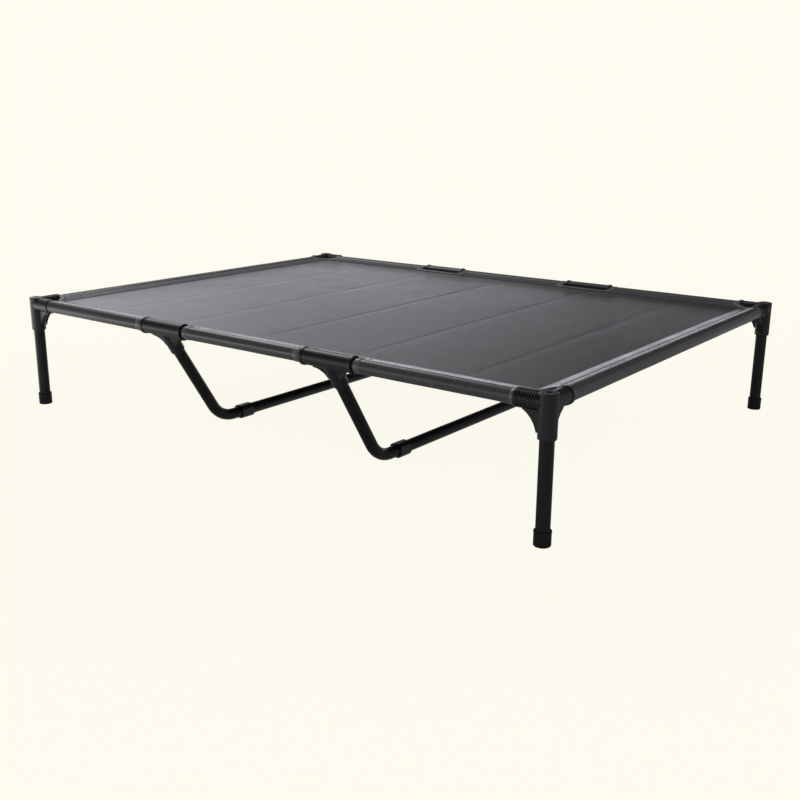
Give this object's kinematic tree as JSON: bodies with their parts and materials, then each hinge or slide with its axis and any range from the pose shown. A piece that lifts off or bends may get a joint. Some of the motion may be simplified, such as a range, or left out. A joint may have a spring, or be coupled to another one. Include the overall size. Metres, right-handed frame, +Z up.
{
  "type": "raised dog cot",
  "caption": "Raised dog cot: a mesh sling stretched over push-fit steel tubes with moulded corner connectors, capped legs and bent centre supports under it.",
  "frame": {"origin": "on the floor under the middle of the cot", "axes": "+X along the long side, +Y from the front long side to the back one, +Z up"},
  "size_m": [1.2332, 0.938, 0.2289],
  "materials": {
    "sling_mesh": "satin",
    "sling_hem": "satin",
    "tube": "satin",
    "connector": "satin",
    "foot": "matte"
  },
  "bodies": {
    "root": {"mesh_panel": "sling_mesh", "front_sleeve": "sling_hem", "back_sleeve": "sling_hem", "left_sleeve": "sling_hem", "right_sleeve": "sling_hem", "corner_connector_front_left": "connector", "corner_connector_front_right": "connector", "corner_connector_back_left": "connector", "corner_connector_back_right": "connector", "corner_leg_front_left": "tube", "corner_leg_front_right": "tube", "corner_leg_back_left": "tube", "corner_leg_back_right": "tube", "foot_cap_front_left": "foot", "foot_cap_front_right": "foot", "foot_cap_back_left": "foot", "foot_cap_back_right": "foot", "rail_front_left": "tube", "rail_front_middle": "tube", "rail_front_right": "tube", "rail_back_left": "tube", "rail_back_middle": "tube", "rail_back_right": "tube", "end_rail_left": "tube", "end_rail_right": "tube", "support_tee_front_left": "connector", "support_tee_front_right": "connector", "support_tee_back_left": "connector", "support_tee_back_right": "connector", "support_leg_front_left": "tube", "support_leg_front_right": "tube", "support_leg_back_left": "tube", "support_leg_back_right": "tube", "cross_tube_left": "tube", "cross_tube_right": "tube", "floor_coupler_front_left": "connector", "floor_coupler_front_right": "connector", "floor_coupler_back_left": "connector", "floor_coupler_back_right": "connector"}
  },
  "joints": []
}
